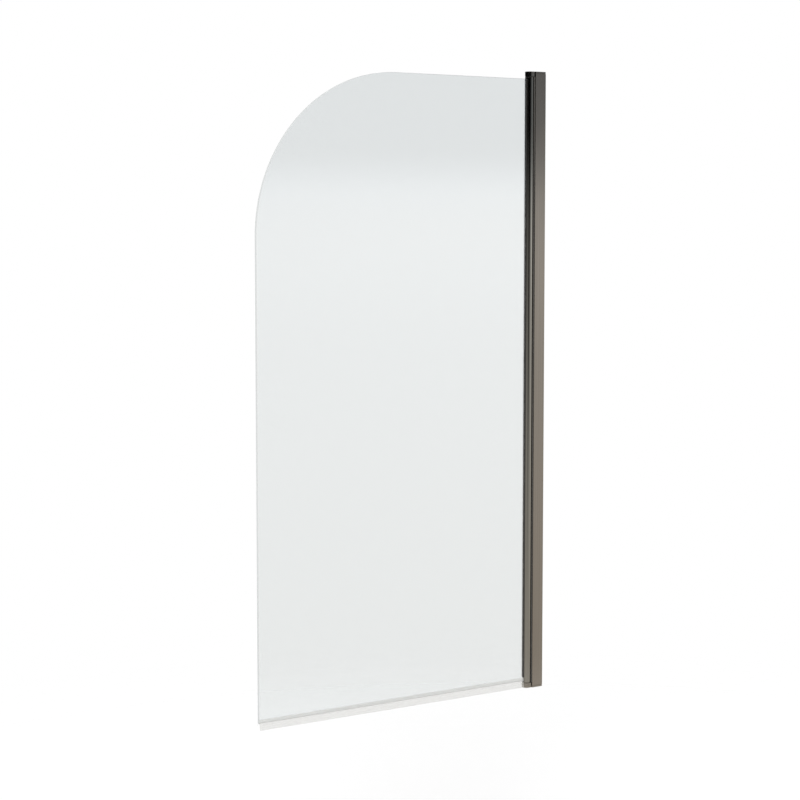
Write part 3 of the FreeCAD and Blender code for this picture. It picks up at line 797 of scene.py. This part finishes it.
# %% Camera
camera = bpy.data.objects.new("camera", bpy.data.cameras.new("camera"))
bpy.context.scene.collection.objects.link(camera)
SENSOR, LENS = 36.0, 91.407
YAW, PITCH = 34.565, 5.0853
NEAREST, FARTHEST = 0.1, 100.0
camera.data.sensor_width = SENSOR
camera.data.lens = LENS
camera.location = (-2.88137, -3.61755, 0.37111)
camera.rotation_euler = np.radians([90 - PITCH, 0, -YAW])
camera.data.clip_start, camera.data.clip_end = NEAREST, FARTHEST
bpy.context.scene.camera = camera
print("the camera looks", YAW, "degrees to the right and", PITCH, "degrees down")

# %% [markdown]
# ## Light and background
#
# The background is white because the camera, and what glass lets through, see a white world of
# strength 1. Bright metal has no colour to show but its surroundings, so what it mirrors matters most:
# here a white floor up to the horizon, a bright wall to the right and a dim room to the left and
# above, all with soft borders. Diffuse surfaces are lit by an even, plain sky and one large soft lamp.
# This room is no real studio. Its steps were fitted until the mirrored bands in the glass and on the
# metal lay close to where the photograph has them.

# %% World
world = bpy.data.worlds.new("white_studio")
bpy.context.scene.world = world
world.use_nodes = True
WHITE = linear("#ffffff")
SOFT, STRAIGHT = "SMOOTHSTEP", "LINEAR"
tree = world.node_tree
tree.nodes.clear()

direction = add(tree, "TexCoord").outputs["Generated"]
height = add(tree, "SeparateXYZ", {0: direction}).outputs["Z"]
yaw = np.radians(YAW)
to_right = (np.cos(yaw), -np.sin(yaw), 0.0)
to_front = (-np.sin(yaw), -np.cos(yaw), 0.0)
right = add(tree, "VectorMath", {0: direction, 1: to_right}, operation="DOT_PRODUCT").outputs["Value"]
front = add(tree, "VectorMath", {0: direction, 1: to_front}, operation="DOT_PRODUCT").outputs["Value"]
turned = add(tree, "Math", {0: right, 1: front}, operation="ARCTAN2")
turned = add(tree, "Math", {0: turned}, operation="DEGREES")

# %% [markdown]
# Each step below says between which two heights, or turns in degrees to the right of the front, the
# light changes, and what it is multiplied by before and after.

# %% The bright wall and where it stands
BRIGHT_STEPS = (
    (height, 0.009, 0.036, 1.0, 0.36, SOFT),
    (height, -0.07, -0.01, 1.0, 1.17, SOFT),
    (height, -0.25, -0.06, 0.74, 0.94, STRAIGHT),
    (turned, 74.0, 92.0, 1.0, 1.4, SOFT),
)
WALL_STEPS = (
    (turned, 20.0, 75.0, 0.0, 1.0, SOFT),
    (turned, 150.0, 180.0, 1.0, 0.0, SOFT),
)
products = []
for steps in (BRIGHT_STEPS, WALL_STEPS):
    product = 1.0
    for value, start, end, before, after, blend in steps:
        limits = {"Value": value, "From Min": start, "From Max": end, "To Min": before, "To Max": after}
        step = add(tree, "MapRange", limits, interpolation_type=blend)
        product = add(tree, "Math", {0: product, 1: step}, operation="MULTIPLY")
    products.append(product)
bright, share = products

# %% The dim room and the alcove behind the camera
ROOM_TOP, ROOM_LOW, GLOW, GLOW_BEND = 0.03, -0.22, 0.83, 0.6
low_down = add(tree, "MapRange", {"Value": height, "From Min": ROOM_TOP, "From Max": ROOM_LOW})
bent = add(tree, "Math", {0: low_down, 1: GLOW_BEND}, operation="POWER")
dim = add(tree, "Math", {0: bent, 1: GLOW}, operation="MULTIPLY")
room = add(tree, "Mix", {"Factor": share, 2: dim, 3: bright})

ALCOVE, ALCOVE_HALF = 9.0, 27.0
ALCOVE_LOW, ALCOVE_TOP, ALCOVE_DEPTH = -0.19, -0.04, 0.95
aside = add(tree, "Math", {0: turned, 1: ALCOVE}, operation="SUBTRACT")
aside = add(tree, "Math", {0: aside}, operation="ABSOLUTE")
limits = {"Value": aside, "From Min": 0.0, "From Max": ALCOVE_HALF, "To Min": 1.0, "To Max": 0.0}
inside = add(tree, "MapRange", limits, interpolation_type=SOFT)
limits = {"Value": height, "From Min": ALCOVE_LOW, "From Max": ALCOVE_TOP, "To Max": ALCOVE_DEPTH}
shade = add(tree, "Math", {0: inside, 1: add(tree, "MapRange", limits)}, operation="MULTIPLY")
kept = add(tree, "Math", {0: 1.0, 1: shade}, operation="SUBTRACT")
room = add(tree, "Math", {0: room, 1: kept}, operation="MULTIPLY")

# %% A pale ceiling, which only faces that look up can mirror
CEILING_LOW, CEILING_TOP, CEILING_GLOW = 0.2, 0.7, 0.5
limits = {"Value": height, "From Min": CEILING_LOW, "From Max": CEILING_TOP, "To Max": CEILING_GLOW}
ceiling = add(tree, "MapRange", limits, interpolation_type=SOFT)
room = add(tree, "Math", {0: room, 1: ceiling}, operation="MAXIMUM")

# %% Its colour: warm low down, cool high up
WARM_TOP, WARM_LOW = -0.03, -0.22
COOL_LOW, COOL_TOP = -0.01, 0.04
warm = add(tree, "MapRange", {"Value": height, "From Min": WARM_TOP, "From Max": WARM_LOW})
colours = {"Factor": warm, COLOUR_A: WHITE, COLOUR_B: linear("#fffaf3")}
tint = add(tree, "Mix", colours, data_type="RGBA").outputs[COLOUR_OUT]
limits = {"Value": height, "From Min": COOL_LOW, "From Max": COOL_TOP}
cool = add(tree, "MapRange", limits, interpolation_type=SOFT)
colours = {"Factor": cool, COLOUR_A: tint, COLOUR_B: linear("#edf5ff")}
tint = add(tree, "Mix", colours, data_type="RGBA").outputs[COLOUR_OUT]

# %% What each kind of ray sees
SKY = 0.75
path = add(tree, "LightPath").outputs
plain = add(tree, "Background", {"Color": WHITE, "Strength": SKY})
mirrored = add(tree, "Background", {"Color": tint, "Strength": room})
white = add(tree, "Background", {"Color": WHITE, "Strength": 1.0})
glossy = add(tree, "MixShader", {0: path["Is Glossy Ray"], 1: plain, 2: mirrored})
sees = {0: path["Is Camera Ray"], 1: path["Is Transmission Ray"]}
seen = add(tree, "Math", sees, operation="MAXIMUM")
final = add(tree, "MixShader", {0: seen, 1: glossy, 2: white})
add(tree, "OutputWorld", {"Surface": final})
print(world.name, "has", len(tree.nodes), "nodes")

# %% Lamp
lamp = bpy.data.objects.new("soft_box", bpy.data.lights.new("soft_box", "AREA"))
bpy.context.scene.collection.objects.link(lamp)
lamp.data.shape = "DISK"
LAMP_WIDTH, LAMP_POWER = 2.4, 70.0
lamp.data.size = LAMP_WIDTH
lamp.data.energy = LAMP_POWER
lamp.location = (-3.0, -3.2, 3.0)
lamp.rotation_euler = (-lamp.location).to_track_quat("-Z", "Y").to_euler()
lamp.visible_glossy = False
print("the lamp gives", LAMP_POWER, "watts")

# %% [markdown]
# ## Floor
#
# The screen stands on the rim of a bath, so the floor lies a good half metre below it. The floor is
# a pale disc that fades out at its rim into the white of the world. For the camera, and for what is
# mirrored, half of its white is its own, and the other half is lit, so the screen's shadow still
# falls on it.

# %% Floor disc
FLOOR_Z, FLOOR_RADIUS = -1250.0, 3000.0
FLOOR_RINGS, FLOOR_STEPS = 9, 96
OWN_LIGHT = 0.52
flat = np.column_stack([np.linspace(0, FLOOR_RADIUS, FLOOR_RINGS), np.full(FLOOR_RINGS, FLOOR_Z)])
disc = spun(flat, FLOOR_STEPS)
floor_mesh = bpy.data.meshes.new("floor")
number = np.arange(FLOOR_RINGS * FLOOR_STEPS).reshape(FLOOR_RINGS, FLOOR_STEPS)
beside = np.roll(number, -1, axis=1)
quads = np.stack([number[:-1], number[1:], beside[1:], beside[:-1]], axis=2).reshape(-1, 4)
floor_mesh.from_pydata((disc.reshape(-1, 3) * MM).tolist(), [], quads.tolist())
floor = bpy.data.objects.new("floor", floor_mesh)
bpy.context.scene.collection.objects.link(floor)

paint, tree, place = new_finish("pale_studio_floor")
middle = {0: place, 1: (0, 0, FLOOR_Z * MM)}
distance = add(tree, "VectorMath", middle, operation="DISTANCE").outputs["Value"]
limits = {"Value": distance, "From Min": FLOOR_RADIUS * MM / 2, "From Max": FLOOR_RADIUS * MM}
fade = add(tree, "MapRange", limits, interpolation_type=SOFT)
path = add(tree, "LightPath").outputs
sees = {0: path["Is Camera Ray"], 1: path["Is Transmission Ray"]}
seen = add(tree, "Math", sees, operation="MAXIMUM")
seen = add(tree, "Math", {0: seen, 1: path["Is Glossy Ray"]}, operation="MAXIMUM")
part = add(tree, "Math", {0: seen, 1: OWN_LIGHT}, operation="MULTIPLY")
own = add(tree, "Emission", {"Color": WHITE, "Strength": part})
lit = add(tree, "BsdfDiffuse", {"Color": linear("#cecece")})
both = add(tree, "AddShader", {0: own, 1: lit})
clear = add(tree, "BsdfTransparent")
final = add(tree, "MixShader", {0: fade, 1: both, 2: clear})
add(tree, "OutputMaterial", {"Surface": final})
floor_mesh.materials.append(paint)
